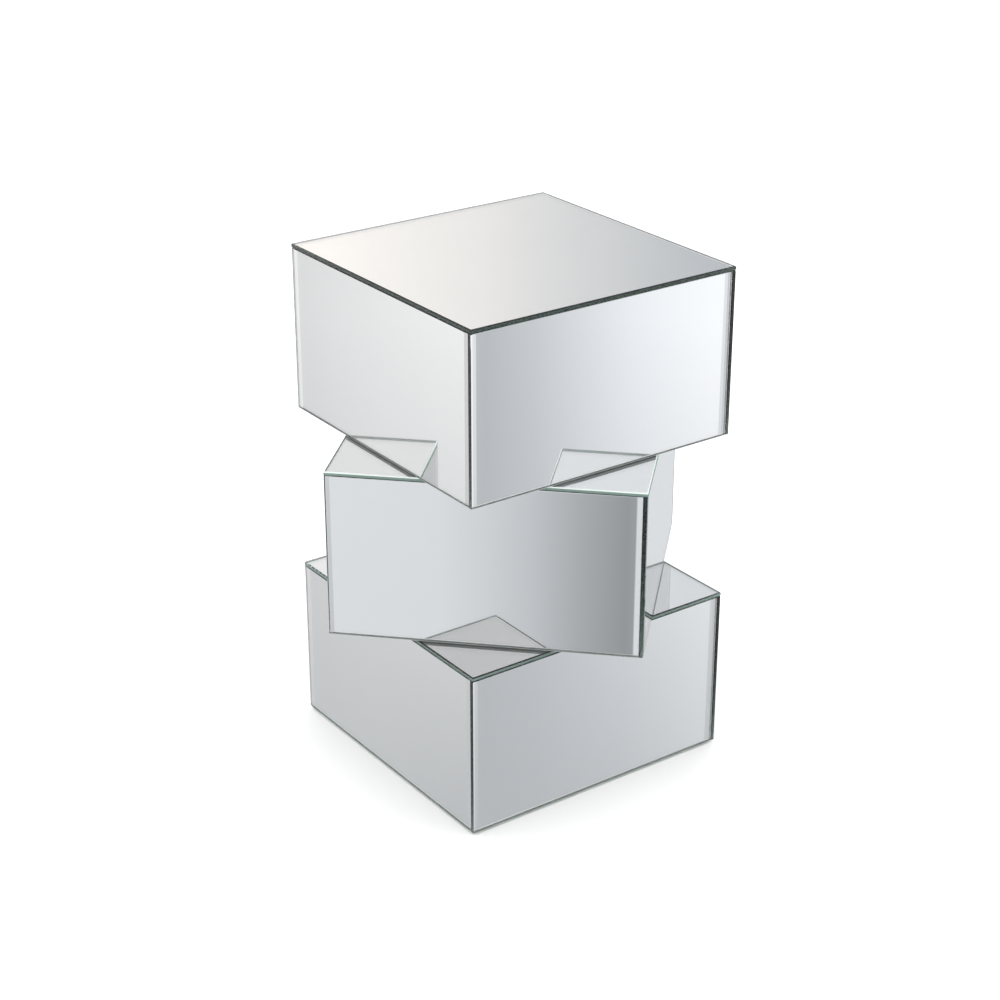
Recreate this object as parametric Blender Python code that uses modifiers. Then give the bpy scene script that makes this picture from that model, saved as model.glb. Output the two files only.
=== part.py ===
"""Accent table: three mirror-clad blocks in a stack, the middle one turned an eighth of a turn.

Metres, +Z up. The origin is on the floor under the centre of the stack, and -Y is the front.
Each block is a box of six fibreboards with a glass mirror on its four sides and on its top.
The blocks are screwed together from inside, and each closing board is screwed on from below.
"""

import math

import bmesh
import bpy

# Overall size: the width is across the corners of the turned middle block.
OVERALL_WIDTH = 0.508
OVERALL_HEIGHT = 0.6096

# Each block's name and its turn about the vertical, from the floor up.
BLOCKS = (("base", 0.0), ("middle", math.radians(-45)), ("top", 0.0))
SIDES = ("front", "right", "back", "left")
CORNERS = ("front_left", "front_right", "back_right", "back_left")

# Stock thicknesses, and the gap left between pieces that touch.
GLASS = 0.005
BOARD = 0.015
GAP = 0.0003

# Side mirrors have a wide shallow bevel on their two upright ends, and top mirrors a ground edge.
BEVEL_WIDTH = 0.0065
BEVEL_DROP = 0.0005
GROUND_EDGE = 0.0012
SIDE_MIRROR_LIFT = 0.0002

# Screws that join the blocks: they stand on this circle, inside both footprints.
JOINT_RADIUS = 0.105
JOINT_SHANK = 0.0025
JOINT_LENGTH = 0.032
JOINT_HEAD = 0.0055
JOINT_HEAD_HEIGHT = 0.003
GLASS_HOLE = 0.004

# Screws that hold the closing board of the middle and base blocks.
COVER_SHANK = 0.002
COVER_LENGTH = 0.035
COVER_HEAD = 0.004
COVER_HEAD_HEIGHT = 0.0025
COVER_SINK = 0.0035
COVER_SPACING = 0.24

# Nail-on glides under the base block.
GLIDE_RADIUS = 0.012
GLIDE_HEIGHT = 0.003
GLIDE_CHAMFER = 0.0008
NAIL_RADIUS = 0.0012
NAIL_LENGTH = 0.011
GLIDE_INSET = 0.035

POINT_LENGTH = 0.003
ROUND_STEPS = 20
HOLE_STEPS = 24
CUT_PAST = 0.002
MERGE = 0.00005

# Worked out from the values above.
BLOCK_SIDE = OVERALL_WIDTH / math.sqrt(2)
BLOCK_HEIGHT = (OVERALL_HEIGHT - GLIDE_HEIGHT - 2 * GAP) / 3
CARCASS_SIDE = BLOCK_SIDE - 2 * (GLASS + GAP)
CARCASS_TOP = BLOCK_HEIGHT - GLASS - GAP
WALL_LOW = BOARD + GAP
WALL_HEIGHT = CARCASS_TOP - 2 * WALL_LOW
WALL_OFFSET = (CARCASS_SIDE - BOARD) / 2
UPPER_BOARD_LOW = CARCASS_TOP - BOARD


def clear_scene():
    """Removes what the scene holds."""
    for old in list(bpy.data.objects):
        bpy.data.objects.remove(old)


def new_collection(name):
    """A collection in the scene."""
    made = bpy.data.collections.new(name)
    bpy.context.scene.collection.children.link(made)
    return made


def new_material(name, colour, roughness, metallic):
    """A Principled material."""
    made = bpy.data.materials.new(name)
    made.use_nodes = True
    shader = made.node_tree.nodes["Principled BSDF"]
    shader.inputs["Base Color"].default_value = (*colour, 1)
    shader.inputs["Roughness"].default_value = roughness
    shader.inputs["Metallic"].default_value = metallic
    return made


clear_scene()
PARTS = new_collection("mirror_block_table")
CUTTERS = new_collection("cutters")
MIRROR = new_material("mirror_glass", (0.80, 0.84, 0.83), 0.03, 1.0)
FIBREBOARD = new_material("fibreboard", (0.43, 0.31, 0.20), 0.85, 0.0)
PAINTED = new_material("painted_board", (0.50, 0.51, 0.52), 0.45, 0.0)
STEEL = new_material("zinc_steel", (0.62, 0.62, 0.60), 0.35, 1.0)
PLASTIC = new_material("glide_plastic", (0.05, 0.05, 0.05), 0.55, 0.0)


def place(name, mesh, material, parent, location=(0, 0, 0), turn=0.0):
    """A part of the table, placed under the empty of its block."""
    mesh.materials.append(material)
    part = bpy.data.objects.new(name, mesh)
    part.parent = parent
    part.location = location
    part.rotation_euler.z = turn
    PARTS.objects.link(part)
    return part


def box_mesh(name, width, depth, height):
    """A box that stands on its own origin."""
    bm = bmesh.new()
    bmesh.ops.create_cube(bm, size=1)
    bmesh.ops.scale(bm, vec=(width, depth, height), verts=bm.verts)
    bmesh.ops.translate(bm, vec=(0, 0, height / 2), verts=bm.verts)
    mesh = bpy.data.meshes.new(name)
    bm.to_mesh(mesh)
    bm.free()
    return mesh


def sheet_bmesh(width, height, thickness):
    """A plain sheet that faces +Z, with its back at z = 0."""
    bm = bmesh.new()
    bmesh.ops.create_cube(bm, size=1)
    bmesh.ops.scale(bm, vec=(width, height, thickness), verts=bm.verts)
    bmesh.ops.translate(bm, vec=(0, 0, thickness / 2), verts=bm.verts)
    bm.normal_update()
    return bm


def side_pane_mesh(name, width, height):
    """A sheet of glass with a shallow bevel down its left and right ends."""
    bm = sheet_bmesh(width, height, GLASS)
    for side in (-1, 1):
        sliced = bmesh.ops.bisect_plane(
            bm,
            geom=[*bm.verts, *bm.edges, *bm.faces],
            plane_co=(side * (width / 2 - BEVEL_WIDTH), 0, GLASS),
            plane_no=(side * BEVEL_DROP, 0, BEVEL_WIDTH),
            clear_outer=True,
        )
        rim = [made for made in sliced["geom_cut"] if isinstance(made, bmesh.types.BMEdge)]
        bmesh.ops.contextual_create(bm, geom=rim)
    mesh = bpy.data.meshes.new(name)
    bm.to_mesh(mesh)
    bm.free()
    return mesh


def top_pane_mesh(name):
    """A square sheet of glass with a ground slope all round its face."""
    bm = sheet_bmesh(BLOCK_SIDE, BLOCK_SIDE, GLASS - GROUND_EDGE)
    face = max(bm.faces, key=lambda f: f.normal.z)
    bmesh.ops.inset_region(bm, faces=[face], thickness=GROUND_EDGE, depth=GROUND_EDGE)
    mesh = bpy.data.meshes.new(name)
    bm.to_mesh(mesh)
    bm.free()
    return mesh


def place_turned(name, profile, material, parent, location):
    """A round part: a profile of (radius, z) points, from its top down, turned about Z."""
    mesh = bpy.data.meshes.new(name)
    edges = [(i, i + 1) for i in range(len(profile) - 1)]
    mesh.from_pydata([(radius, 0, z) for radius, z in profile], edges, [])
    part = place(name, mesh, material, parent, location)
    screw = part.modifiers.new("turn", "SCREW")
    screw.axis = "Z"
    screw.angle = math.tau
    screw.steps = ROUND_STEPS
    screw.render_steps = ROUND_STEPS
    screw.use_merge_vertices = True
    screw.merge_threshold = MERGE
    screw.use_smooth_shade = False
    return part


def drill(part, points, radius, low, high):
    """Cuts upright round holes in a part, at (x, y) points of its block, from z low to z high."""
    bm = bmesh.new()
    for x, y in points:
        made = bmesh.ops.create_cone(
            bm,
            cap_ends=True,
            segments=HOLE_STEPS,
            radius1=radius,
            radius2=radius,
            depth=high - low,
        )
        bmesh.ops.translate(bm, vec=(x, y, (low + high) / 2), verts=made["verts"])
    mesh = bpy.data.meshes.new(f"{part.name}_cutter")
    bm.to_mesh(mesh)
    bm.free()
    cutter = bpy.data.objects.new(mesh.name, mesh)
    cutter.parent = part.parent
    cutter.hide_render = True
    cutter.display_type = "WIRE"
    CUTTERS.objects.link(cutter)
    cut = part.modifiers.new("holes", "BOOLEAN")
    cut.operation = "DIFFERENCE"
    cut.solver = "EXACT"
    cut.object = cutter


def block_empty(name, index, turn):
    """The empty that a block's parts hang from: on its axis, level with its underside."""
    made = bpy.data.objects.new(f"{name}_block", None)
    made.location.z = GLIDE_HEIGHT + index * (BLOCK_HEIGHT + GAP)
    made.rotation_euler.z = turn
    PARTS.objects.link(made)
    return made


def add_boards(block, name):
    """The six boards of one block, as {place: object}."""
    lower_finish = FIBREBOARD if name == "base" else PAINTED
    boards = {}
    for level, low, finish in (("lower", 0, lower_finish), ("upper", UPPER_BOARD_LOW, FIBREBOARD)):
        mesh = box_mesh(f"{name}_{level}_board", CARCASS_SIDE, CARCASS_SIDE, BOARD)
        boards[level] = place(mesh.name, mesh, finish, block, (0, 0, low))
    short = CARCASS_SIDE - 2 * WALL_LOW
    for quarter, side in enumerate(SIDES):
        length = CARCASS_SIDE if quarter % 2 == 0 else short
        mesh = box_mesh(f"{name}_{side}_board", length, BOARD, WALL_HEIGHT)
        turn = quarter * math.pi / 2
        spot = (WALL_OFFSET * math.sin(turn), -WALL_OFFSET * math.cos(turn), WALL_LOW)
        boards[side] = place(mesh.name, mesh, FIBREBOARD, block, spot, turn)
    return boards


def add_side_mirrors(block, name):
    """Four bevelled mirrors round a block. Each covers the end of the one on its left."""
    width = BLOCK_SIDE - GLASS - GAP
    height = CARCASS_TOP - SIDE_MIRROR_LIFT
    back = BLOCK_SIDE / 2 - GLASS
    shift = -(GLASS + GAP) / 2
    middle = SIDE_MIRROR_LIFT + height / 2
    for quarter, side in enumerate(SIDES):
        mesh = side_pane_mesh(f"{name}_{side}_mirror", width, height)
        turn = quarter * math.pi / 2
        x = shift * math.cos(turn) + back * math.sin(turn)
        y = shift * math.sin(turn) - back * math.cos(turn)
        pane = place(mesh.name, mesh, MIRROR, block, (x, y, middle), turn)
        pane.rotation_euler.x = math.pi / 2


def add_top_mirror(block, name):
    """The mirror that lies on a block's upper board and on the ends of its side mirrors."""
    mesh = top_pane_mesh(f"{name}_cap_mirror")
    return place(mesh.name, mesh, MIRROR, block, (0, 0, BLOCK_HEIGHT - GLASS))


def screw_profile(shank, length, head, head_height):
    """A flat-headed screw that points up, with the seat of its head at z = 0."""
    return [
        (0, length),
        (shank, length - POINT_LENGTH),
        (shank, 0),
        (head, 0),
        (head, -head_height * 0.5),
        (head * 0.8, -head_height),
        (0, -head_height),
    ]


def joint_points(turn):
    """Where the joining screws stand, in the frame of a block with this turn."""
    angles = [math.pi / 4 + quarter * math.pi / 2 - turn for quarter in range(4)]
    return [(JOINT_RADIUS * math.cos(a), JOINT_RADIUS * math.sin(a)) for a in angles]


def cover_points():
    """Where the screws of a closing board stand: under the front and back walls."""
    x = COVER_SPACING / 2
    return [(-x, -WALL_OFFSET), (x, -WALL_OFFSET), (x, WALL_OFFSET), (-x, WALL_OFFSET)]


def join_blocks(lower, upper):
    """Four screws from inside the lower block, through its top, into the upper block's floor."""
    below = joint_points(lower["turn"])
    above = joint_points(upper["turn"])
    seat = UPPER_BOARD_LOW - GAP
    reach = JOINT_LENGTH - (BLOCK_HEIGHT + GAP - seat) + GAP
    free = JOINT_SHANK + GAP
    drill(lower["boards"]["upper"], below, free, UPPER_BOARD_LOW - CUT_PAST, BLOCK_HEIGHT)
    drill(lower["cap"], below, GLASS_HOLE, CARCASS_TOP, BLOCK_HEIGHT + CUT_PAST)
    drill(upper["boards"]["lower"], above, free, -CUT_PAST, reach)
    profile = screw_profile(JOINT_SHANK, JOINT_LENGTH, JOINT_HEAD, JOINT_HEAD_HEIGHT)
    for corner, (x, y) in zip(CORNERS, below, strict=True):
        name = f"{lower['name']}_joint_screw_{corner}"
        place_turned(name, profile, STEEL, lower["empty"], (x, y, seat))


def screw_cover(block):
    """Four sunk screws up through a block's lower board, into its front and back walls."""
    points = cover_points()
    free = COVER_SHANK + GAP
    seat = COVER_SINK - GAP
    tip = seat + COVER_LENGTH + GAP
    cover = block["boards"]["lower"]
    drill(cover, points, free, -CUT_PAST, BOARD + CUT_PAST)
    drill(cover, points, COVER_HEAD + GAP, -CUT_PAST, COVER_SINK)
    drill(block["boards"]["front"], points[:2], free, 0, tip)
    drill(block["boards"]["back"], points[2:], free, 0, tip)
    profile = screw_profile(COVER_SHANK, COVER_LENGTH, COVER_HEAD, COVER_HEAD_HEIGHT)
    for corner, (x, y) in zip(CORNERS, points, strict=True):
        name = f"{block['name']}_cover_screw_{corner}"
        place_turned(name, profile, STEEL, block["empty"], (x, y, seat))


def add_glides(block):
    """Four plastic glides, each moulded on a nail that is driven into the base board."""
    reach = CARCASS_SIDE / 2 - GLIDE_INSET
    points = [(-reach, -reach), (reach, -reach), (reach, reach), (-reach, reach)]
    drill(block["boards"]["lower"], points, NAIL_RADIUS + GAP, -CUT_PAST, NAIL_LENGTH)
    low = -GLIDE_HEIGHT
    profile = [
        (0, NAIL_LENGTH - GAP),
        (NAIL_RADIUS, NAIL_LENGTH - POINT_LENGTH),
        (NAIL_RADIUS, -GAP),
        (GLIDE_RADIUS, -GAP),
        (GLIDE_RADIUS, low + GLIDE_CHAMFER),
        (GLIDE_RADIUS - GLIDE_CHAMFER, low),
        (0, low),
    ]
    for corner, (x, y) in zip(CORNERS, points, strict=True):
        place_turned(f"glide_{corner}", profile, PLASTIC, block["empty"], (x, y, 0))


def add_block(index, name, turn):
    """One mirror-clad box, as its name, turn, empty, boards and top mirror."""
    empty = block_empty(name, index, turn)
    add_side_mirrors(empty, name)
    return {
        "name": name,
        "turn": turn,
        "empty": empty,
        "boards": add_boards(empty, name),
        "cap": add_top_mirror(empty, name),
    }


def build_table():
    """The whole stack, from the floor up."""
    base, middle, top = [add_block(i, name, turn) for i, (name, turn) in enumerate(BLOCKS)]
    join_blocks(base, middle)
    join_blocks(middle, top)
    screw_cover(base)
    screw_cover(middle)
    add_glides(base)


build_table()
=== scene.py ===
import math

import bmesh
import bpy
from mathutils import Matrix, Vector


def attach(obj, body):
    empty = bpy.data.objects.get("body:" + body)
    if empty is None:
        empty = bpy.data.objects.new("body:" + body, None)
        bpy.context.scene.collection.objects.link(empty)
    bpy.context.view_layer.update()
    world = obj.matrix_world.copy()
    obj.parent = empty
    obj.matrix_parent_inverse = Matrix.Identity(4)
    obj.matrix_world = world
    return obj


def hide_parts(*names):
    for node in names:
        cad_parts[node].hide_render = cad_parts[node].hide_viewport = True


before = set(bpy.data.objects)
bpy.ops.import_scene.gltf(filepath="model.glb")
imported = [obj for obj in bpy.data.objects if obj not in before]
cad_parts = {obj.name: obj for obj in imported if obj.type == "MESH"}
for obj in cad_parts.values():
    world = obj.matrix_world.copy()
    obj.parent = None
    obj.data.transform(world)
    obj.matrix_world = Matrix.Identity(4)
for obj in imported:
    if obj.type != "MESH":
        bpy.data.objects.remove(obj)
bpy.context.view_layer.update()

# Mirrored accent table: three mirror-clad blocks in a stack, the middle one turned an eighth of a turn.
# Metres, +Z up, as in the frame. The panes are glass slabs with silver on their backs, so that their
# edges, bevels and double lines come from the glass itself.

BLOCKS = ("base", "middle", "top")
SIDES = ("front", "right", "back", "left")
CORNERS = ("front_left", "front_right", "back_right", "back_left")
TURN = {"base": 0.0, "middle": math.radians(-45), "top": 0.0}

# Panes: the wide bevel down the upright ends of the side mirrors, the slope round the face of the top
# mirrors, the small arris that both have along their other edges, the wider one round the back of the top
# mirrors, and how far in the silvering dulls.
BEVEL_WIDTH = 0.0065
BEVEL_DROP = 0.0005
FACE_SLOPE = 0.0012
ARRIS = 0.0005
BACK_ARRIS = 0.0009
CORNER_RADIUS = 0.0007
CORNER_STEPS = 3
SILVER_MARGIN = 0.004
GLASS_HOLE = 0.004
HOLE_STEPS = 48
FACE, BACK = 0, 1

# How a block's ground glass looks: round the flats of its top mirror's edge, on the slope round that
# mirror's face, and along the lower edges of its side mirrors. 0 is smooth and tinted dark grey, or
# polished for a slope, 1 is milky green and 2 is pale.
# The three blocks have the same glass; these values differ from block to block so that the edges of the top
# block's top mirror come out dark and those of the lower blocks lighter: painted shade and painted light.
FROST = {
    "base": (0.9, 0.0, 1.0),
    "middle": (1.0, 2.0, 2.0),
    "top": (0.12, 0.0, 2.0),
}
MILKY = 1.0
PALE = 2.0
FLAT_TILT = 0.3

# Glass: its index, the colour its thickness takes, the roughness of its smooth and milky edges, and how
# much light its milky and pale edges let through.
GLASS_INDEX = 1.52
GLASS_COLOUR = (0.25, 0.50, 0.40, 1)
GLASS_DENSITY = 8.0
SMOOTH_ROUGHNESS = (0.18, 0.30)
MILKY_ROUGHNESS = (0.60, 0.75)
MILKY_CLEARNESS = 0.74
PALE_CLEARNESS = 0.25

# Screws, each inside the space of its CAD solid: shank radius, length, head radius, head height. The core
# of the thread, its ridge, the plain part of the shank and the blunt end of the point are shares. The reach
# and half width of the cross recess are shares of the head's radius, and its floor has shares of those two
# and of the head's height.
JOINT_SCREW = (0.0025, 0.032, 0.0055, 0.003)
COVER_SCREW = (0.002, 0.035, 0.004, 0.0025)
SCREW_STEPS = 32
THREAD_STEPS = 10
THREAD_PITCH = 0.0019
THREAD_CORE = 0.7
THREAD_RIDGE = 0.3
PLAIN_SHANK = 0.3
POINT_LENGTH = 0.003
POINT_BLUNT = 0.12
RECESS_REACH = 0.5
RECESS_HALF = 0.14
RECESS_FLOOR = (0.45, 0.7, 0.35)

# Glides: a moulded disc, dished round the steel nail that holds it.
GLIDE_HEIGHT = 0.003
GLIDE_RADIUS = 0.012
GLIDE_NAIL = 0.0012
NAIL_LENGTH = 0.011
NAIL_HEAD = 0.0034
GLIDE_STEPS = 64

# The camera: two and a half metres from the table, to the left of its front, looking down at it.
CAMERA_AZIMUTH = -35.6
CAMERA_ELEVATION = 24.4
CAMERA_DISTANCE = 2.5255
CAMERA_TARGET = (-0.0094, 0.0068, 0.306)
LENS = 76.8
SENSOR = 36.0

FLOOR_RADIUS = 14.0

# The studio that the mirrors show, as bands of soft flats one above the other. Each band is a list of
# (azimuth in degrees, brightness, warmth) right round the table; the elevations between two bands are
# where the one passes into the other.
FLOOR_BAND = (
    (-180, 0.80, -0.03),
    (-146.3, 0.75, -0.03),
    (-143.4, 0.56, -0.04),
    (-140.8, 0.30, -0.04),
    (-138.3, 0.55, -0.03),
    (-134, 0.74, -0.02),
    (-120, 0.82, 0.0),
    (-98, 0.56, -0.02),
    (-75, 0.66, -0.01),
    (-54.6, 0.52, -0.04),
    (-50.2, 0.54, -0.04),
    (-47, 0.67, -0.03),
    (-28, 0.52, -0.03),
    (-10, 0.80, 0.0),
    (22, 0.60, -0.03),
    (40, 0.72, -0.03),
    (60, 0.80, -0.01),
    (88, 0.54, -0.02),
    (106, 0.70, -0.02),
    (120, 0.555, -0.03),
    (130, 0.515, -0.03),
    (140, 0.62, -0.02),
    (152, 0.50, -0.02),
    (166, 0.76, -0.02),
    (180, 0.80, -0.03),
)
LOW_BAND = (
    (-180, 0.86, -0.02),
    (-150, 0.81, -0.03),
    (-146.3, 0.785, -0.03),
    (-144.9, 0.72, -0.03),
    (-143.4, 0.60, -0.04),
    (-140.8, 0.335, -0.04),
    (-138.3, 0.62, -0.03),
    (-134, 0.82, -0.01),
    (-120, 1.02, 0.0),
    (-98, 0.60, -0.02),
    (-76, 0.98, 0.0),
    (-60, 1.08, 0.0),
    (-57.2, 0.72, -0.03),
    (-54.6, 0.53, -0.045),
    (-52.4, 0.76, -0.04),
    (-50.2, 0.98, -0.035),
    (-47, 1.12, -0.01),
    (-42, 1.02, 0.0),
    (-28, 0.56, -0.03),
    (-8, 1.04, 0.0),
    (22, 0.62, -0.03),
    (40, 0.80, -0.035),
    (58, 1.0, 0.0),
    (88, 0.56, -0.02),
    (108, 0.94, 0.0),
    (118, 0.67, -0.005),
    (121.4, 0.85, -0.005),
    (124.3, 0.945, 0.0),
    (132, 1.05, 0.0),
    (152, 0.58, -0.02),
    (168, 0.92, -0.01),
    (180, 0.86, -0.02),
)
HIGH_BAND = (
    (-180, 0.95, 0.0),
    (-120, 0.92, 0.0),
    (-60, 0.98, 0.0),
    (-10, 0.80, 0.0),
    (30, 0.58, -0.04),
    (45, 0.50, -0.045),
    (48.8, 0.58, -0.045),
    (51, 0.68, -0.02),
    (53.2, 0.78, 0.0),
    (55, 0.885, 0.02),
    (57.3, 0.96, 0.03),
    (60, 1.08, 0.045),
    (80, 1.05, 0.03),
    (125, 0.95, 0.0),
    (180, 0.95, 0.0),
)
CEILING_BAND = (
    (-180, 0.76, 0.0),
    (-145, 0.655, -0.01),
    (-110, 0.78, 0.0),
    (-51, 0.94, -0.035),
    (0, 0.78, -0.03),
    (40.5, 0.71, -0.03),
    (48.7, 0.75, -0.03),
    (60, 0.91, 0.0),
    (80, 0.92, 0.0),
    (122, 0.94, 0.0),
    (150, 0.80, 0.0),
    (180, 0.76, 0.0),
)
BAND_PASSES = ((-33.5, -19.5), (-4.6, 4.6), (19.5, 25.0))
STUDIO_GAIN = 1.07
ROOM_SEEN = 1.06
ROOM_LIGHT = 1.75


# ---------------------------------------------------------------- nodes and materials


def add_node(tree, kind, inputs=None, **settings):
    """A shader node. An input is a value, or another node's output socket."""
    made = tree.nodes.new(kind)
    for name, value in settings.items():
        setattr(made, name, value)
    for name, value in (inputs or {}).items():
        if isinstance(value, bpy.types.NodeSocket):
            tree.links.new(value, made.inputs[name])
        else:
            made.inputs[name].default_value = value
    return made


def maths(tree, operation, first, second=0.0):
    """The result of one sum, as a socket."""
    return add_node(tree, "ShaderNodeMath", {0: first, 1: second}, operation=operation).outputs[0]


def spread(tree, value, low, high, to_low, to_high, smooth=False):
    """A value carried from one range to another, and held at its ends."""
    kind = "SMOOTHSTEP" if smooth else "LINEAR"
    inputs = {"Value": value, "From Min": low, "From Max": high, "To Min": to_low, "To Max": to_high}
    return add_node(tree, "ShaderNodeMapRange", inputs, interpolation_type=kind).outputs["Result"]


def noise(tree, place, scale, detail=2.0, roughness=0.5):
    """A noise pattern's value."""
    inputs = {"Vector": place, "Scale": scale, "Detail": detail, "Roughness": roughness}
    return add_node(tree, "ShaderNodeTexNoise", inputs).outputs["Fac"]


def mixed_colour(tree, share, first, second):
    """A mix of two colours."""
    made = add_node(tree, "ShaderNodeMix", data_type="RGBA")
    for index, value in ((0, share), (6, first), (7, second)):
        if isinstance(value, bpy.types.NodeSocket):
            tree.links.new(value, made.inputs[index])
        else:
            made.inputs[index].default_value = value if index == 0 else (*value, 1)
    return made.outputs[2]


def new_material(name, **sockets):
    """A material with one Principled shader, as (material, tree, shader)."""
    made = bpy.data.materials.new(name)
    made.use_nodes = True
    tree = made.node_tree
    shader = tree.nodes["Principled BSDF"]
    for socket, value in sockets.items():
        shader.inputs[socket.replace("_", " ")].default_value = value
    return made, tree, shader


def object_place(tree):
    """The point of the surface in the piece's own frame."""
    return add_node(tree, "ShaderNodeTexCoord").outputs["Object"]


def glass_material():
    """Clear float glass, greenish through its edge. Its edges are ground and its faces are polished."""
    made, tree, shader = new_material("float_glass", IOR=GLASS_INDEX)
    place = object_place(tree)
    ground = add_node(tree, "ShaderNodeAttribute", attribute_name="ground").outputs["Fac"]
    smear = spread(tree, noise(tree, place, 9.0, 3.0), 0.55, 0.8, 0.0, 0.012)
    frost = add_node(tree, "ShaderNodeAttribute", attribute_name="frost").outputs["Fac"]
    smooth = spread(tree, noise(tree, place, 900.0, 2.0), 0.3, 0.7, *SMOOTH_ROUGHNESS)
    milky = spread(tree, noise(tree, place, 1200.0, 2.0), 0.3, 0.7, *MILKY_ROUGHNESS)
    edges = add_node(tree, "ShaderNodeMix", {0: frost, 2: smooth, 3: milky}).outputs[0]
    rough = add_node(tree, "ShaderNodeMix", {0: ground, 2: smear, 3: edges}).outputs[0]
    tree.links.new(rough, shader.inputs["Roughness"])
    clear = mixed_colour(tree, noise(tree, place, 5.0), (0.99, 0.995, 0.995), (1.0, 1.0, 1.0))
    # A dark grey tint on the smooth ground edges, which makes them show as dark lines.
    dark_edge_tint = mixed_colour(tree, noise(tree, place, 300.0), (0.30, 0.33, 0.32), (0.42, 0.45, 0.44))
    milky_tone = mixed_colour(tree, frost, dark_edge_tint, (0.56, 0.80, 0.70))
    pale = spread(tree, frost, MILKY, PALE, 0.0, 1.0)
    edge_tone = mixed_colour(tree, pale, milky_tone, (0.88, 0.97, 0.93))
    tree.links.new(mixed_colour(tree, ground, clear, edge_tone), shader.inputs["Base Color"])
    clearness = spread(tree, frost, 0.0, MILKY, 1.0, MILKY_CLEARNESS)
    lost = maths(tree, "MULTIPLY", pale, MILKY_CLEARNESS - PALE_CLEARNESS)
    tree.links.new(maths(tree, "SUBTRACT", clearness, lost), shader.inputs["Transmission Weight"])
    depth = {"Color": GLASS_COLOUR, "Density": GLASS_DENSITY}
    body = add_node(tree, "ShaderNodeVolumeAbsorption", depth)
    tree.links.new(body.outputs[0], tree.nodes["Material Output"].inputs["Volume"])
    return made


def silver_material():
    """The silvering on the back of a pane, a little darker and duller where it nears the edge."""
    made, tree, shader = new_material("silvering", Metallic=1.0)
    place = object_place(tree)
    cloud = noise(tree, place, 6.0, 3.0)
    edge = add_node(tree, "ShaderNodeAttribute", attribute_name="edge").outputs["Fac"]
    fine = noise(tree, place, 160.0, 3.0)
    worn = spread(tree, maths(tree, "MULTIPLY", edge, fine), 0.3, 0.65, 0.0, 1.0, smooth=True)
    clean = mixed_colour(tree, cloud, (0.911, 0.89, 0.899), (0.931, 0.91, 0.919))
    tree.links.new(mixed_colour(tree, worn, clean, (0.70, 0.70, 0.69)), shader.inputs["Base Color"])
    dull = maths(tree, "MULTIPLY", worn, 0.05)
    rough = maths(tree, "ADD", spread(tree, cloud, 0.35, 0.75, 0.004, 0.012), dull)
    tree.links.new(rough, shader.inputs["Roughness"])
    return made


def fibreboard_material():
    """Bare medium-density fibreboard: a fine felted speckle with a few longer fibres."""
    made, tree, shader = new_material("bare_fibreboard", Specular_IOR_Level=0.25)
    place = object_place(tree)
    stretched = add_node(tree, "ShaderNodeMapping", {"Vector": place, "Scale": (1.0, 1.0, 3.0)}).outputs[0]
    fibres = noise(tree, stretched, 520.0, 4.0, 0.65)
    cells = {"Vector": stretched, "Scale": 260.0}
    flecks = add_node(tree, "ShaderNodeTexVoronoi", cells).outputs["Distance"]
    blotch = noise(tree, place, 7.0, 2.0)
    felt = spread(tree, fibres, 0.3, 0.7, 0.0, 1.0)
    base = mixed_colour(tree, felt, (0.36, 0.25, 0.155), (0.52, 0.385, 0.255))
    toned = mixed_colour(tree, spread(tree, blotch, 0.35, 0.7, 0.0, 0.35), base, (0.40, 0.27, 0.16))
    dark = mixed_colour(tree, spread(tree, flecks, 0.0, 0.22, 0.55, 0.0), toned, (0.24, 0.155, 0.09))
    tree.links.new(dark, shader.inputs["Base Color"])
    tree.links.new(spread(tree, fibres, 0.2, 0.8, 0.92, 0.74), shader.inputs["Roughness"])
    bump = add_node(tree, "ShaderNodeBump", {"Height": fibres, "Strength": 0.35, "Distance": 0.0004})
    tree.links.new(bump.outputs[0], shader.inputs["Normal"])
    return made


def painted_material():
    """Grey paint over fibreboard, rolled on: a low orange peel and a few thin spots."""
    made, tree, shader = new_material("grey_paint_on_board", Specular_IOR_Level=0.45)
    place = object_place(tree)
    peel = noise(tree, place, 420.0, 2.0)
    cloud = noise(tree, place, 14.0, 4.0, 0.6)
    tone = spread(tree, cloud, 0.35, 0.7, 0.0, 1.0)
    base = mixed_colour(tree, tone, (0.47, 0.48, 0.49), (0.54, 0.55, 0.555))
    thin = spread(tree, noise(tree, place, 90.0, 3.0), 0.68, 0.8, 0.0, 0.4)
    tree.links.new(mixed_colour(tree, thin, base, (0.42, 0.38, 0.33)), shader.inputs["Base Color"])
    tree.links.new(spread(tree, cloud, 0.3, 0.7, 0.36, 0.52), shader.inputs["Roughness"])
    bump = add_node(tree, "ShaderNodeBump", {"Height": peel, "Strength": 0.25, "Distance": 0.0002})
    tree.links.new(bump.outputs[0], shader.inputs["Normal"])
    return made


def zinc_material():
    """Bright zinc plating, slightly clouded, with fine scratches."""
    made, tree, shader = new_material("zinc_plate", Metallic=1.0)
    place = object_place(tree)
    cloud = noise(tree, place, 380.0, 3.0)
    drawn = add_node(tree, "ShaderNodeMapping", {"Vector": place, "Scale": (1.0, 1.0, 14.0)}).outputs[0]
    lines = noise(tree, drawn, 700.0, 3.0)
    colour = mixed_colour(tree, cloud, (0.60, 0.615, 0.63), (0.74, 0.73, 0.69))
    tree.links.new(colour, shader.inputs["Base Color"])
    tree.links.new(spread(tree, lines, 0.3, 0.7, 0.22, 0.44), shader.inputs["Roughness"])
    bump = add_node(tree, "ShaderNodeBump", {"Height": lines, "Strength": 0.15, "Distance": 0.00005})
    tree.links.new(bump.outputs[0], shader.inputs["Normal"])
    return made


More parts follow.
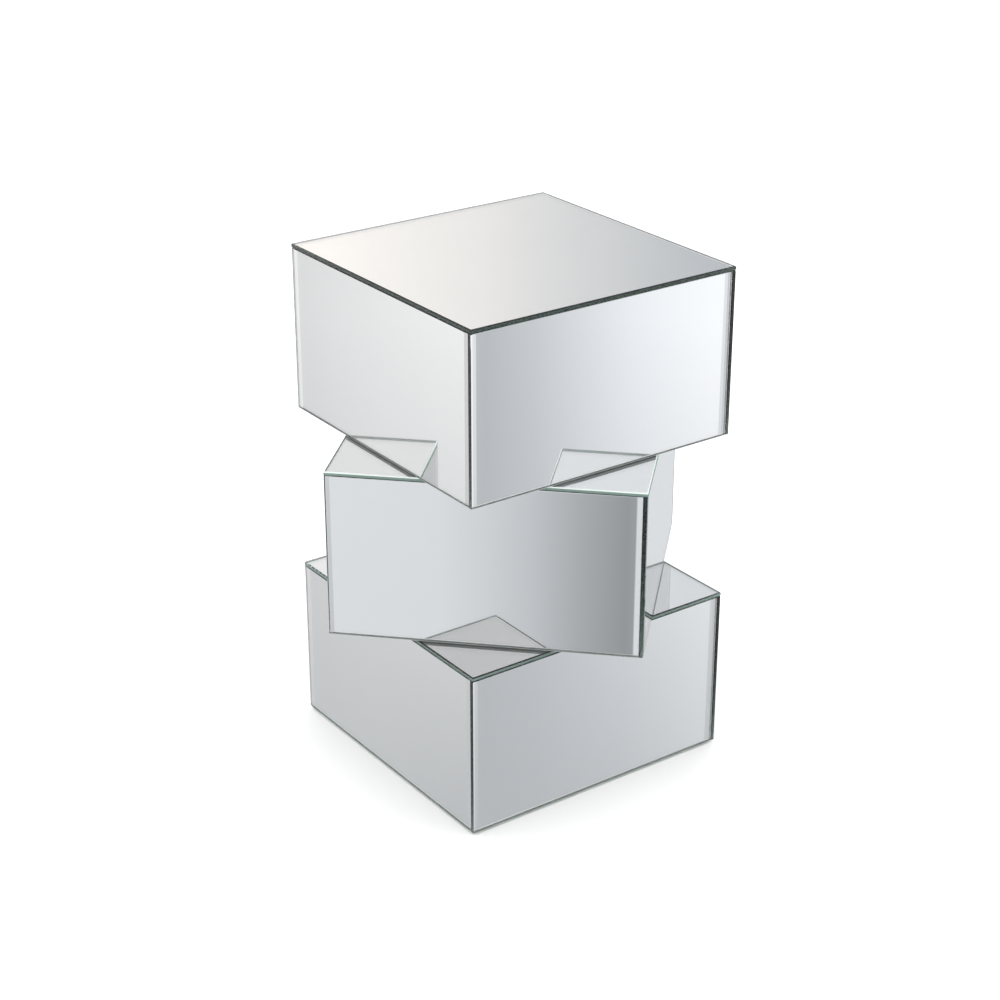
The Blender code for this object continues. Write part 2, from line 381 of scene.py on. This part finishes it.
def plastic_material():
    """Moulded glide plastic, with a fine spark-eroded grain and scattered scuffs."""
    made, tree, shader = new_material("glide_moulding", Specular_IOR_Level=0.5)
    place = object_place(tree)
    grain = noise(tree, place, 2600.0, 2.0)
    scuff = spread(tree, noise(tree, place, 240.0, 4.0, 0.7), 0.55, 0.75, 0.0, 0.6)
    tone = mixed_colour(tree, scuff, (0.030, 0.030, 0.032), (0.085, 0.083, 0.08))
    tree.links.new(tone, shader.inputs["Base Color"])
    tree.links.new(spread(tree, grain, 0.3, 0.7, 0.45, 0.62), shader.inputs["Roughness"])
    bump = add_node(tree, "ShaderNodeBump", {"Height": grain, "Strength": 0.3, "Distance": 0.0001})
    tree.links.new(bump.outputs[0], shader.inputs["Normal"])
    return made


def floor_material():
    """The studio's pale floor, almost even."""
    made, tree, shader = new_material("studio_floor", Specular_IOR_Level=0.0, Roughness=1.0)
    place = object_place(tree)
    tone = mixed_colour(tree, noise(tree, place, 1.5), (0.93, 0.93, 0.93), (0.945, 0.945, 0.945))
    tree.links.new(tone, shader.inputs["Base Color"])
    return made


GLASS = glass_material()
SILVER = silver_material()
FIBREBOARD = fibreboard_material()
PAINTED = painted_material()
ZINC = zinc_material()
PLASTIC = plastic_material()


# ---------------------------------------------------------------- meshes


def turned_box(node, turn):
    """A node's lowest and highest corners, in a frame turned about the vertical by this angle."""
    unturn = Matrix.Rotation(-turn, 3, "Z")
    points = [unturn @ vertex.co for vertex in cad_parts[node].data.vertices]
    low = Vector([min(point[axis] for point in points) for axis in range(3)])
    high = Vector([max(point[axis] for point in points) for axis in range(3)])
    return low, high


def level_back(x):
    """The level of a pane's back, which is flat."""
    return 0.0


def rounded_ring(bm, width, height, inset, level_at, station=0.0):
    """One rounded rectangle of vertices, inset from the outline, anticlockwise from its right side.

    The level is a function of x. With a station, its long sides have a vertex there, left and right."""
    radius = CORNER_RADIUS
    reach_x = width / 2 - inset - radius
    reach_y = height / 2 - inset - radius
    points = []
    for quarter, (sign_x, sign_y) in enumerate(((1, 1), (-1, 1), (-1, -1), (1, -1))):
        for step in range(CORNER_STEPS + 1):
            angle = (quarter + step / CORNER_STEPS) * math.pi / 2
            x = sign_x * reach_x + radius * math.cos(angle)
            y = sign_y * reach_y + radius * math.sin(angle)
            points.append((x, y))
        if station and quarter % 2 == 0:
            points += [(sign_x * station, y), (-sign_x * station, y)]
    return [bm.verts.new((x, y, level_at(x))) for x, y in points]


def round_ring(bm, centre, radius, level, steps):
    """One circle of vertices."""
    angles = [math.tau * step / steps for step in range(steps)]
    x, y = centre
    return [bm.verts.new((x + radius * math.cos(a), y + radius * math.sin(a), level)) for a in angles]


def join_rings(bm, lower, upper, material=0, ground=0.0):
    """Faces between two rings that both run anticlockwise, facing outwards if the second is above."""
    layer = bm.faces.layers.float["ground"]
    count = len(lower)
    for i in range(count):
        j = (i + 1) % count
        face = bm.faces.new((lower[i], lower[j], upper[j], upper[i]))
        face.material_index = material
        face[layer] = ground


def fill_plate(bm, outer, openings, material, facing):
    """A flat face inside a ring, with openings, that faces up (1) or down (-1)."""
    edges = []
    for ring in [outer, *openings]:
        for first, second in zip(ring, ring[1:] + ring[:1], strict=True):
            edges.append(bm.edges.get((first, second)) or bm.edges.new((first, second)))
    filled = bmesh.ops.triangle_fill(bm, use_beauty=True, edges=edges, normal=(0, 0, facing))
    for face in filled["geom"]:
        if isinstance(face, bmesh.types.BMFace):
            face.material_index = material
            face.normal_update()
            if face.normal.z * facing < 0:
                face.normal_flip()


def finished_mesh(bm, name, materials):
    """The mesh of a piece, with its materials."""
    mesh = bpy.data.meshes.new(name)
    bm.to_mesh(mesh)
    bm.free()
    for material in materials:
        mesh.materials.append(material)
    return mesh


def new_bmesh():
    """An empty mesh in the making, with the attributes that the glass and the silvering read."""
    bm = bmesh.new()
    bm.faces.layers.float.new("ground")
    bm.faces.layers.float.new("frost")
    bm.verts.layers.float.new("edge")
    return bm


def set_frost(bm, flat, foot, slope=0.0):
    """How frosted the ground edges are: their flats, the flat along the pane's lower side, the slope."""
    ground = bm.faces.layers.float["ground"]
    frost = bm.faces.layers.float["frost"]
    bm.normal_update()
    for face in bm.faces:
        if face[ground] > 0 and face.normal.z > FLAT_TILT:
            face[frost] = slope
        elif face[ground] > 0 and face.normal.z > -FLAT_TILT:
            face[frost] = foot if face.normal.y < -0.5 else flat


def pane_body(bm, width, height, profile, station=0.0):
    """A pane's edges and the rim of its silvered back, from (inset, level, ground) steps.

    Gives the ring inside that rim and the ring round the face."""
    rings = [rounded_ring(bm, width, height, inset, level, station) for inset, level, _ in profile]
    inner = rounded_ring(bm, width, height, SILVER_MARGIN, level_back, station)
    edge = bm.verts.layers.float["edge"]
    for vertex in rings[0]:
        vertex[edge] = 1.0
    join_rings(bm, inner, rings[0], BACK)
    for (lower, upper), (_, _, ground) in zip(zip(rings, rings[1:]), profile[1:], strict=False):
        join_rings(bm, lower, upper, FACE, ground)
    return inner, rings[-1]


def side_pane_mesh(name, width, height, thickness, foot):
    """A glass slab that faces +Z, silvered at z = 0, with a wide bevel down its left and right ends."""
    bm = new_bmesh()
    station = width / 2 - BEVEL_WIDTH
    slope = BEVEL_DROP / BEVEL_WIDTH

    def face_level(x):
        return thickness - max(0.0, abs(x) - station) * slope

    profile = (
        (ARRIS, level_back, 0.0),
        (0.0, lambda x: ARRIS, 1.0),
        (0.0, lambda x: face_level(x) - ARRIS, 1.0),
        (ARRIS, face_level, 0.0),
    )
    inner, front = pane_body(bm, width, height, profile, station)
    fill_plate(bm, inner, [], BACK, -1)
    corner = CORNER_STEPS + 1
    split = 3 * corner + 2
    bm.faces.new([*front[split + 1:], *front[:corner + 1]])
    bm.faces.new([front[split + 1], front[corner], front[corner + 1], front[split]])
    bm.faces.new(front[corner + 1:split + 1])
    set_frost(bm, 0.0, foot)
    return finished_mesh(bm, name, (GLASS, SILVER))


def top_pane_mesh(name, side, thickness, holes, flat, slope):
    """A square glass slab that faces +Z, silvered at z = 0, with a ground slope round its face."""
    bm = new_bmesh()
    profile = (
        (BACK_ARRIS, level_back, 0.0),
        (0.0, lambda x: BACK_ARRIS, 1.0),
        (0.0, lambda x: thickness - FACE_SLOPE, 1.0),
        (FACE_SLOPE, lambda x: thickness, min(slope, 1.0)),
    )
    inner, face = pane_body(bm, side, side, profile)
    back_openings = [round_ring(bm, hole, GLASS_HOLE, 0.0, HOLE_STEPS) for hole in holes]
    front_openings = [round_ring(bm, hole, GLASS_HOLE, thickness, HOLE_STEPS) for hole in holes]
    for back, front in zip(back_openings, front_openings, strict=True):
        join_rings(bm, front, back, FACE, 1.0)
    fill_plate(bm, face, front_openings, FACE, 1)
    fill_plate(bm, inner, back_openings, BACK, -1)
    set_frost(bm, flat, flat, slope)
    return finished_mesh(bm, name, (GLASS, SILVER))


def lathe(bm, profile, steps):
    """A turned shape from (radius, level, material) points that start and end on the axis.

    The profile runs outwards along the underside and up the outside."""
    start, *between, end = profile
    first = bm.verts.new((0, 0, start[1]))
    last = bm.verts.new((0, 0, end[1]))
    rings = [round_ring(bm, (0, 0), radius, level, steps) for radius, level, _ in between]
    for (lower, upper), (_, _, material) in zip(zip(rings, rings[1:]), between[1:], strict=False):
        join_rings(bm, lower, upper, material)
    for i in range(steps):
        j = (i + 1) % steps
        bm.faces.new((first, rings[0][j], rings[0][i])).material_index = between[0][2]
        bm.faces.new((rings[-1][i], rings[-1][j], last)).material_index = end[2]


def cross_ring(bm, reach, half, level):
    """The outline of a cross recess, anticlockwise."""
    points = [(reach, -half), (reach, half), (half, half)]
    for _ in range(9):
        x, y = points[-3]
        points.append((-y, x))
    return [bm.verts.new((x, y, level)) for x, y in points]


def thread_ring(bm, shank, length, level):
    """One ring of a threaded shank, its crest further round at each level."""
    start = length * PLAIN_SHANK
    full = min(max((level - start) / THREAD_PITCH, 0.0), 1.0)
    taper = min((length - level) / POINT_LENGTH, 1.0)
    ring = []
    for step in range(SCREW_STEPS):
        phase = (level / THREAD_PITCH - step / SCREW_STEPS) % 1.0
        ridge = max(0.0, 1.0 - abs(phase - 0.5) / THREAD_RIDGE)
        cut = THREAD_CORE + (1 - THREAD_CORE) * ridge
        radius = shank * (1 + (cut - 1) * full) * max(taper, POINT_BLUNT)
        angle = math.tau * step / SCREW_STEPS
        ring.append(bm.verts.new((radius * math.cos(angle), radius * math.sin(angle), level)))
    return ring


def screw_mesh(name, shank, length, head, head_height):
    """A cross-head screw, its seat at z = 0 and its shank upwards."""
    bm = new_bmesh()
    outline = (
        (0.72, -1.0),
        (0.80, -0.96),
        (0.87, -0.80),
        (0.93, -0.64),
        (0.985, -0.50),
        (1.0, -0.36),
        (1.0, -0.06),
        (0.98, 0.0),
    )
    rings = [round_ring(bm, (0, 0), head * r, head_height * z, SCREW_STEPS) for r, z in outline]
    count = round(length / THREAD_PITCH * THREAD_STEPS)
    rings += [thread_ring(bm, shank, length, length * step / count) for step in range(count)]
    for lower, upper in zip(rings, rings[1:]):
        join_rings(bm, lower, upper)
    tip = bm.verts.new((0, 0, length))
    last = rings[-1]
    for i in range(SCREW_STEPS):
        bm.faces.new((last[i], last[(i + 1) % SCREW_STEPS], tip))
    reach, half = head * RECESS_REACH, head * RECESS_HALF
    floor_reach, floor_half, floor_level = RECESS_FLOOR
    mouth = cross_ring(bm, reach, half, -head_height)
    narrow = cross_ring(bm, reach * floor_reach, half * floor_half, -head_height * floor_level)
    join_rings(bm, narrow, mouth)
    fill_plate(bm, rings[0], [mouth], 0, -1)
    fill_plate(bm, narrow, [], 0, -1)
    return finished_mesh(bm, name, (ZINC,))


def glide_mesh(name):
    """A glide standing on z = 0: the moulded disc, dished round the nail's domed head, and the nail."""
    bm = new_bmesh()
    plastic, steel = 0, 1
    profile = (
        (0.0, 0.0004, steel),
        (0.0018, 0.00052, steel),
        (0.0028, 0.0008, steel),
        (NAIL_HEAD, 0.0012, steel),
        (NAIL_HEAD + 0.0002, 0.0012, plastic),
        (NAIL_HEAD + 0.0005, 0.0006, plastic),
        (0.0062, 0.0003, plastic),
        (0.0073, 0.00004, plastic),
        (0.0080, 0.0, plastic),
        (0.0108, 0.0, plastic),
        (0.01142, 0.00024, plastic),
        (0.01182, 0.00064, plastic),
        (GLIDE_RADIUS, 0.0011, plastic),
        (GLIDE_RADIUS, GLIDE_HEIGHT - 0.0002, plastic),
        (GLIDE_RADIUS - 0.0002, GLIDE_HEIGHT, plastic),
        (GLIDE_NAIL, GLIDE_HEIGHT, plastic),
        (GLIDE_NAIL, GLIDE_HEIGHT + NAIL_LENGTH * 0.78, steel),
        (0.0, GLIDE_HEIGHT + NAIL_LENGTH, steel),
    )
    lathe(bm, profile, GLIDE_STEPS)
    return finished_mesh(bm, name, (PLASTIC, ZINC))


def new_piece(name, mesh, node, location=(0, 0, 0), rotation=(0, 0, 0)):
    """A piece in place of a CAD node."""
    piece = bpy.data.objects.new(name, mesh)
    piece.location = location
    piece.rotation_euler = rotation
    bpy.context.scene.collection.objects.link(piece)
    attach(piece, "root")
    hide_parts(node)
    return piece


def add_side_pane(block, quarter, side):
    """One bevelled side mirror, in the space of its CAD pane."""
    node = f"{block}_{side}_mirror"
    turn = TURN[block] + quarter * math.pi / 2
    low, high = turned_box(node, turn)
    thickness = high.y - low.y
    size = (high.x - low.x, high.z - low.z, thickness)
    _, _, foot = FROST[block]
    mesh = side_pane_mesh(f"{node}_pane", *size, foot)
    back = Vector(((low.x + high.x) / 2, high.y, (low.z + high.z) / 2))
    middle = Matrix.Rotation(turn, 3, "Z") @ back
    return new_piece(mesh.name, mesh, node, middle, (math.pi / 2, 0, turn))


def node_middle(node):
    """The middle of a node's box."""
    low, high = turned_box(node, 0.0)
    return (low + high) / 2


def add_top_pane(block):
    """One top mirror, in the space of its CAD pane, drilled where screws pass through it."""
    node = f"{block}_cap_mirror"
    low, high = turned_box(node, TURN[block])
    unturn = Matrix.Rotation(-TURN[block], 3, "Z")
    screws = [f"{block}_joint_screw_{corner}" for corner in CORNERS]
    holes = [(unturn @ node_middle(screw)).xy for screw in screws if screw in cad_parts]
    size = (high.x - low.x, high.z - low.z)
    flat, slope, _ = FROST[block]
    mesh = top_pane_mesh(f"{node}_pane", *size, holes, flat, slope)
    return new_piece(mesh.name, mesh, node, (0, 0, low.z), (0, 0, TURN[block]))


def add_screws(kind, size):
    """The screws of one kind, each in the space of its CAD solid."""
    mesh = screw_mesh(f"{kind}_screw", *size)
    for block in BLOCKS[:2]:
        for corner in CORNERS:
            node = f"{block}_{kind}_screw_{corner}"
            low, _ = turned_box(node, 0.0)
            x, y, _ = node_middle(node)
            new_piece(f"{node}_threaded", mesh, node, (x, y, low.z + size[3]))


def add_glides():
    """The glides under the base block."""
    mesh = glide_mesh("glide")
    for corner in CORNERS:
        node = f"glide_{corner}"
        x, y, _ = node_middle(node)
        new_piece(f"{node}_moulded", mesh, node, (x, y, 0.0))


for block_name in BLOCKS:
    for index, side_name in enumerate(SIDES):
        add_side_pane(block_name, index, side_name)
    add_top_pane(block_name)
add_screws("joint", JOINT_SCREW)
add_screws("cover", COVER_SCREW)
add_glides()


# ---------------------------------------------------------------- CAD nodes that stay


for node_name, cad_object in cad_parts.items():
    if node_name.endswith("_board"):
        painted = node_name in ("middle_lower_board", "top_lower_board")
        cad_object.data.materials.clear()
        cad_object.data.materials.append(PAINTED if painted else FIBREBOARD)


# ---------------------------------------------------------------- studio


def studio_ramp(tree, turn, stops):
    """The colour of the studio by azimuth."""
    ramp = add_node(tree, "ShaderNodeValToRGB", {"Fac": turn})
    elements = ramp.color_ramp.elements
    while len(elements) > 1:
        elements.remove(elements[-1])
    for index, (azimuth, brightness, warmth) in enumerate(stops):
        position = azimuth / 360 + 0.5
        stop = elements[0] if index == 0 else elements.new(position)
        stop.position = position
        stop.color = (brightness * (1 + warmth), brightness, brightness * (1 - warmth), 1)
    return ramp.outputs["Color"]


def add_world():
    """A white room to the camera and to matt surfaces, and soft flats round the table to the mirrors."""
    world = bpy.data.worlds.new("studio")
    bpy.context.scene.world = world
    world.use_nodes = True
    tree = world.node_tree
    outward = add_node(tree, "ShaderNodeTexCoord").outputs["Generated"]
    axes = add_node(tree, "ShaderNodeSeparateXYZ", {0: outward})
    angle = maths(tree, "ARCTAN2", axes.outputs["Y"], axes.outputs["X"])
    turn = maths(tree, "ADD", maths(tree, "DIVIDE", angle, math.tau), 0.5)
    studio = studio_ramp(tree, turn, FLOOR_BAND)
    for band, elevations in zip((LOW_BAND, HIGH_BAND, CEILING_BAND), BAND_PASSES, strict=True):
        low, high = (math.sin(math.radians(elevation)) for elevation in elevations)
        share = spread(tree, axes.outputs["Z"], low, high, 0.0, 1.0)
        studio = mixed_colour(tree, share, studio, studio_ramp(tree, turn, band))
    gain = {0: studio, "Scale": STUDIO_GAIN}
    shown = add_node(tree, "ShaderNodeVectorMath", gain, operation="SCALE").outputs[0]
    path = add_node(tree, "ShaderNodeLightPath")
    lit = mixed_colour(tree, path.outputs["Is Diffuse Ray"], shown, (ROOM_LIGHT,) * 3)
    seen = mixed_colour(tree, path.outputs["Is Camera Ray"], lit, (ROOM_SEEN,) * 3)
    tree.links.new(seen, tree.nodes["Background"].inputs["Color"])


def add_floor():
    """A pale floor, which the mirrors don't show."""
    bm = bmesh.new()
    bmesh.ops.create_circle(bm, cap_ends=True, segments=96, radius=FLOOR_RADIUS)
    mesh = finished_mesh(bm, "floor", (floor_material(),))
    floor = bpy.data.objects.new("floor", mesh)
    bpy.context.scene.collection.objects.link(floor)
    floor.visible_glossy = False
    floor.visible_transmission = False


def add_camera():
    """The camera at the photograph's angle."""
    azimuth, elevation = math.radians(CAMERA_AZIMUTH), math.radians(CAMERA_ELEVATION)
    level = Vector((math.sin(azimuth), -math.cos(azimuth), 0.0))
    back = level * math.cos(elevation) + Vector((0.0, 0.0, math.sin(elevation)))
    camera = bpy.data.objects.new("camera", bpy.data.cameras.new("camera"))
    camera.data.lens = LENS
    camera.data.sensor_width = SENSOR
    camera.location = Vector(CAMERA_TARGET) + back * CAMERA_DISTANCE
    camera.rotation_euler = (-back).to_track_quat("-Z", "Y").to_euler()
    bpy.context.scene.collection.objects.link(camera)
    bpy.context.scene.camera = camera


def set_light_paths():
    """Enough bounces for light to cross several panes of glass."""
    scene = bpy.context.scene
    scene.view_settings.view_transform = "Standard"
    scene.cycles.max_bounces = 64
    scene.cycles.glossy_bounces = 48
    scene.cycles.transmission_bounces = 32


add_world()
add_floor()
add_camera()
set_light_paths()
